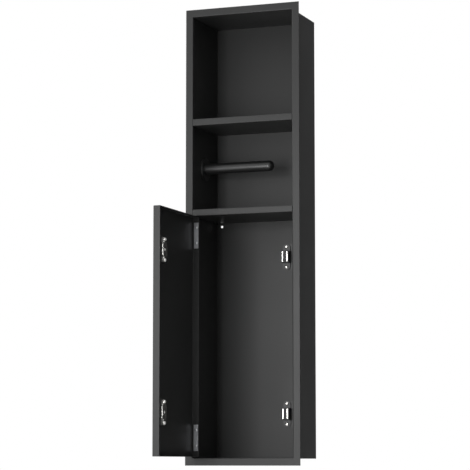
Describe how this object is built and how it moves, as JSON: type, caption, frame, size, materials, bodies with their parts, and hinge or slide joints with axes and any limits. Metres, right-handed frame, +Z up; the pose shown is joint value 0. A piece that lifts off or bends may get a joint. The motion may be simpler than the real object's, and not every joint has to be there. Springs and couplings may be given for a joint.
{
  "type": "recessed toilet paper holder",
  "caption": "Tall recessed steel wall cabinet with a front flange, an open niche, a bay with a side-mounted roll arm, and a lower compartment behind a folded hinged door with magnetic catches.",
  "frame": {"origin": "middle of the front opening, on the wall plane that the flange's rear face lies against", "axes": "+X to the right seen from the room, +Y into the wall, +Z up"},
  "size_m": [0.21, 0.2986, 0.8],
  "materials": {
    "black_coated_steel": "matte black powder coat",
    "bright_steel": "bright nickel-plated steel",
    "zinc_plated_steel": "dull zinc-plated steel",
    "moulded_plastic": "moulded black plastic",
    "magnet_ferrite": "sintered ferrite"
  },
  "bodies": {
    "casing": {"casing_wrap": "black_coated_steel", "back_panel": "black_coated_steel", "upper_shelf": "black_coated_steel", "lower_shelf": "black_coated_steel", "roll_arm": "black_coated_steel", "roll_rosette": "black_coated_steel", "roll_arm_bolt": "bright_steel", "roll_arm_washer": "bright_steel", "upper_hinge_wall_leaf": "zinc_plated_steel", "lower_hinge_wall_leaf": "zinc_plated_steel", "upper_hinge_pin": "bright_steel", "lower_hinge_pin": "bright_steel", "hinge_wall_rivets": "zinc_plated_steel", "upper_catch_bracket": "black_coated_steel", "lower_catch_bracket": "black_coated_steel", "upper_catch_housing": "moulded_plastic", "lower_catch_housing": "moulded_plastic", "upper_catch_magnet": "magnet_ferrite", "lower_catch_magnet": "magnet_ferrite", "upper_catch_poles": "bright_steel", "lower_catch_poles": "bright_steel", "catch_screws": "bright_steel"},
    "door": {"door_pan": "black_coated_steel", "upper_hinge_door_leaf": "zinc_plated_steel", "lower_hinge_door_leaf": "zinc_plated_steel", "upper_hinge_backing_plate": "zinc_plated_steel", "lower_hinge_backing_plate": "zinc_plated_steel", "hinge_door_rivets": "zinc_plated_steel", "upper_striker_channel": "black_coated_steel", "lower_striker_channel": "black_coated_steel", "upper_striker_plate": "bright_steel", "lower_striker_plate": "bright_steel", "striker_rivets": "bright_steel", "striker_screws": "bright_steel"}
  },
  "joints": [
    {"name": "door_hinge", "type": "hinge", "parent": "casing", "child": "door", "pos_m": [-0.0896, 0.001, -0.177], "axis": [0, 0, -1], "range_deg": [-90, 5]}
  ]
}
